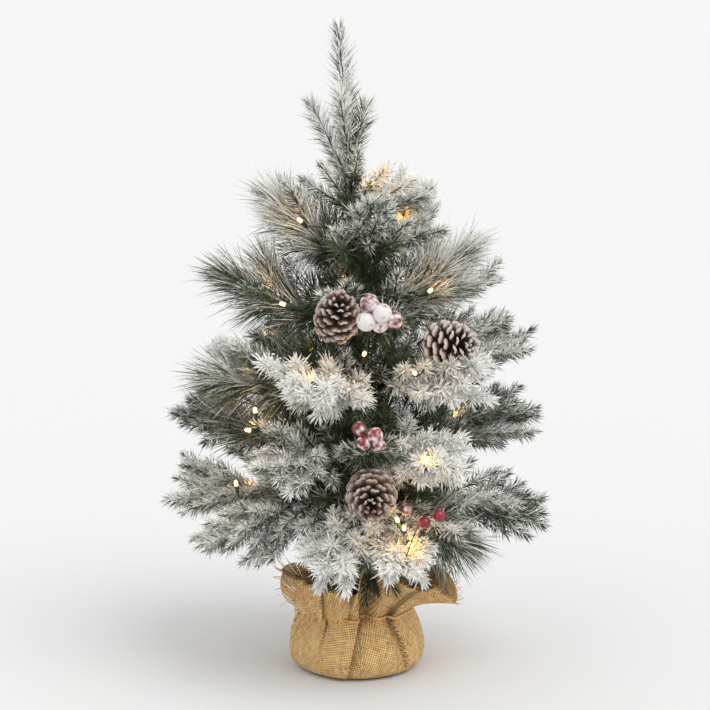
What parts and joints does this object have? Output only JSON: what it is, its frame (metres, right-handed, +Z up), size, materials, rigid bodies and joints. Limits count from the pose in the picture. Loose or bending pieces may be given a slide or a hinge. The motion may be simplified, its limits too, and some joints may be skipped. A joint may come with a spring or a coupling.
{
  "type": "artificial tabletop tree",
  "caption": "Small frosted artificial conifer with bendable branches, cones, berries and battery lights, standing in a weighted burlap-wrapped base.",
  "frame": {"origin": "the centre of the flat resting face under the base", "axes": "+Z up along the tree, +X to the right seen from the front, -Y to the front"},
  "size_m": [0.3496, 0.3009, 0.6101],
  "materials": {
    "felt": "pressed felt",
    "cement": "rough cast cement",
    "socket_plastic": "moulded",
    "brown_steel": "brown enamel",
    "burlap": "open plain-weave jute with frayed edges",
    "twine": "twisted jute",
    "green_tape": "wound plastic tape",
    "needles": "cut film needles, flocked white at the tips",
    "cone_wood": "dry cone scales with frosted edges",
    "berry": "red lacquer, some frosted with white grains",
    "case_plastic": "fine moulded texture",
    "cell_foil": "satin sleeve",
    "contact_steel": "plated spring steel",
    "board": "solder mask",
    "switch_plastic": "moulded",
    "green_wire": "thin insulated lead",
    "lamp": "clear warm lamp, lit"
  },
  "bodies": {
    "root": {"foot_pad": "felt", "base_weight": "cement", "base_socket": "socket_plastic", "trunk_pole": "brown_steel", "burlap_wrap": "burlap", "neck_tie": "twine", "bottom_tier_binding": "green_tape", "lower_tier_binding": "green_tape", "middle_tier_binding": "green_tape", "upper_tier_binding": "green_tape", "top_tier_binding": "green_tape", "leader": "needles", "battery_case": "case_plastic", "battery_cell_1": "cell_foil", "battery_cell_2": "cell_foil", "battery_cell_3": "cell_foil", "contact_plate_left": "contact_steel", "contact_plate_right": "contact_steel", "circuit_board": "board", "pole_clip": "case_plastic", "light_lead": "green_wire"},
    "bottom_branch_1_body": {"bottom_branch_1": "needles"},
    "bottom_branch_2_body": {"bottom_branch_2": "needles"},
    "bottom_branch_3_body": {"bottom_branch_3": "needles"},
    "bottom_branch_4_body": {"bottom_branch_4": "needles", "berry_pick_front_lower": "berry"},
    "bottom_branch_5_body": {"bottom_branch_5": "needles"},
    "bottom_branch_6_body": {"bottom_branch_6": "needles"},
    "bottom_branch_7_body": {"bottom_branch_7": "needles"},
    "bottom_branch_8_body": {"bottom_branch_8": "needles"},
    "lower_branch_1_body": {"lower_branch_1": "needles"},
    "lower_branch_2_body": {"lower_branch_2": "needles"},
    "lower_branch_3_body": {"lower_branch_3": "needles", "pine_cone_front_lower": "cone_wood", "berry_pick_front_middle": "berry"},
    "lower_branch_4_body": {"lower_branch_4": "needles"},
    "lower_branch_5_body": {"lower_branch_5": "needles"},
    "lower_branch_6_body": {"lower_branch_6": "needles", "pine_cone_back_lower": "cone_wood"},
    "middle_branch_1_body": {"middle_branch_1": "needles"},
    "middle_branch_2_body": {"middle_branch_2": "needles"},
    "middle_branch_3_body": {"middle_branch_3": "needles", "pine_cone_front_right": "cone_wood"},
    "middle_branch_4_body": {"middle_branch_4": "needles"},
    "middle_branch_5_body": {"middle_branch_5": "needles", "pine_cone_back_left": "cone_wood"},
    "upper_branch_1_body": {"upper_branch_1": "needles"},
    "upper_branch_2_body": {"upper_branch_2": "needles", "pine_cone_front_upper": "cone_wood", "berry_pick_front_upper": "berry"},
    "upper_branch_3_body": {"upper_branch_3": "needles"},
    "upper_branch_4_body": {"upper_branch_4": "needles", "berry_pick_back": "berry"},
    "top_branch_1_body": {"top_branch_1": "needles"},
    "top_branch_2_body": {"top_branch_2": "needles"},
    "top_branch_3_body": {"top_branch_3": "needles"},
    "cover_body": {"battery_cover": "case_plastic"},
    "switch_body": {"switch_slider": "switch_plastic"}
  },
  "joints": [
    {"name": "bottom_branch_1_bend", "type": "hinge", "parent": "root", "child": "bottom_branch_1_body", "pos_m": [-0.01147, -0.0008, 0.171], "axis": [-0.0698, 0.9976, 0], "range_deg": [-8, 11]},
    {"name": "bottom_branch_2_bend", "type": "hinge", "parent": "root", "child": "bottom_branch_2_body", "pos_m": [-0.00953, -0.00643, 0.171], "axis": [-0.5592, 0.829, 0], "range_deg": [-8, 11]},
    {"name": "bottom_branch_3_bend", "type": "hinge", "parent": "root", "child": "bottom_branch_3_body", "pos_m": [-0.00219, -0.01129, 0.171], "axis": [-0.9816, 0.1908, 0], "range_deg": [-8, 11]},
    {"name": "bottom_branch_4_bend", "type": "hinge", "parent": "root", "child": "bottom_branch_4_body", "pos_m": [0.00393, -0.01081, 0.171], "axis": [-0.9397, -0.342, 0], "range_deg": [-8, 11]},
    {"name": "bottom_branch_5_bend", "type": "hinge", "parent": "root", "child": "bottom_branch_5_body", "pos_m": [0.00894, -0.00724, 0.171], "axis": [-0.6293, -0.7771, 0], "range_deg": [-8, 11]},
    {"name": "bottom_branch_6_bend", "type": "hinge", "parent": "root", "child": "bottom_branch_6_body", "pos_m": [0.01141, -0.0014, 0.171], "axis": [-0.1219, -0.9925, 0], "range_deg": [-8, 11]},
    {"name": "bottom_branch_7_bend", "type": "hinge", "parent": "root", "child": "bottom_branch_7_body", "pos_m": [0.00575, 0.00996, 0.171], "axis": [0.866, -0.5, 0], "range_deg": [-8, 11]},
    {"name": "bottom_branch_8_bend", "type": "hinge", "parent": "root", "child": "bottom_branch_8_body", "pos_m": [-0.00609, 0.00975, 0.171], "axis": [0.848, 0.5299, 0], "range_deg": [-8, 11]},
    {"name": "lower_branch_1_bend", "type": "hinge", "parent": "root", "child": "lower_branch_1_body", "pos_m": [-0.01136, 0.0018, 0.22], "axis": [0.1564, 0.9877, 0], "range_deg": [-8, 10]},
    {"name": "lower_branch_2_bend", "type": "hinge", "parent": "root", "child": "lower_branch_2_body", "pos_m": [-0.00592, -0.00986, 0.22], "axis": [-0.8572, 0.515, 0], "range_deg": [-8, 10]},
    {"name": "lower_branch_3_bend", "type": "hinge", "parent": "root", "child": "lower_branch_3_body", "pos_m": [0.0012, -0.01144, 0.22], "axis": [-0.9945, -0.1045, 0], "range_deg": [-8, 10]},
    {"name": "lower_branch_4_bend", "type": "hinge", "parent": "root", "child": "lower_branch_4_body", "pos_m": [0.00676, -0.0093, 0.22], "axis": [-0.809, -0.5878, 0], "range_deg": [-8, 10]},
    {"name": "lower_branch_5_bend", "type": "hinge", "parent": "root", "child": "lower_branch_5_body", "pos_m": [0.01125, 0.00239, 0.22], "axis": [0.2079, -0.9781, 0], "range_deg": [-8, 10]},
    {"name": "lower_branch_6_bend", "type": "hinge", "parent": "root", "child": "lower_branch_6_body", "pos_m": [-0.0004, 0.01149, 0.22], "axis": [0.9994, 0.0349, 0], "range_deg": [-8, 10]},
    {"name": "middle_branch_1_bend", "type": "hinge", "parent": "root", "child": "middle_branch_1_body", "pos_m": [-0.01094, -0.00355, 0.274], "axis": [-0.309, 0.9511, 0], "range_deg": [-8, 18]},
    {"name": "middle_branch_2_bend", "type": "hinge", "parent": "root", "child": "middle_branch_2_body", "pos_m": [-0.00317, -0.01106, 0.274], "axis": [-0.9613, 0.2756, 0], "range_deg": [-8, 18]},
    {"name": "middle_branch_3_bend", "type": "hinge", "parent": "root", "child": "middle_branch_3_body", "pos_m": [0.00918, -0.00692, 0.274], "axis": [-0.6018, -0.7986, 0], "range_deg": [-8, 18]},
    {"name": "middle_branch_4_bend", "type": "hinge", "parent": "root", "child": "middle_branch_4_body", "pos_m": [0.01147, 0.0008, 0.274], "axis": [0.0698, -0.9976, 0], "range_deg": [-8, 18]},
    {"name": "middle_branch_5_bend", "type": "hinge", "parent": "root", "child": "middle_branch_5_body", "pos_m": [-0.00739, 0.00881, 0.274], "axis": [0.766, 0.6428, 0], "range_deg": [-8, 18]},
    {"name": "upper_branch_1_bend", "type": "hinge", "parent": "root", "child": "upper_branch_1_body", "pos_m": [-0.01149, -0.0004, 0.328], "axis": [-0.0349, 0.9994, 0], "range_deg": [-8, 16]},
    {"name": "upper_branch_2_bend", "type": "hinge", "parent": "root", "child": "upper_branch_2_body", "pos_m": [0.00298, -0.01111, 0.328], "axis": [-0.9659, -0.2588, 0], "range_deg": [-8, 16]},
    {"name": "upper_branch_3_bend", "type": "hinge", "parent": "root", "child": "upper_branch_3_body", "pos_m": [0.01132, -0.002, 0.328], "axis": [-0.1736, -0.9848, 0], "range_deg": [-8, 16]},
    {"name": "upper_branch_4_bend", "type": "hinge", "parent": "root", "child": "upper_branch_4_body", "pos_m": [-0.0004, 0.01149, 0.328], "axis": [0.9994, 0.0349, 0], "range_deg": [-8, 16]},
    {"name": "top_branch_1_bend", "type": "hinge", "parent": "root", "child": "top_branch_1_body", "pos_m": [-0.01132, 0.002, 0.388], "axis": [0.1736, 0.9848, 0], "range_deg": [-8, 15]},
    {"name": "top_branch_2_bend", "type": "hinge", "parent": "root", "child": "top_branch_2_body", "pos_m": [0.00355, -0.01094, 0.388], "axis": [-0.9511, -0.309, 0], "range_deg": [-8, 15]},
    {"name": "top_branch_3_bend", "type": "hinge", "parent": "root", "child": "top_branch_3_body", "pos_m": [0.01051, 0.00468, 0.388], "axis": [0.4067, -0.9135, 0], "range_deg": [-8, 15]},
    {"name": "battery_cover_slide", "type": "slide", "parent": "root", "child": "cover_body", "axis": [1, 0, 0], "range_m": [0, 0.07]},
    {"name": "switch_slide", "type": "slide", "parent": "root", "child": "switch_body", "axis": [0, 0, 1], "range_m": [-0.003, 0.003]}
  ]
}
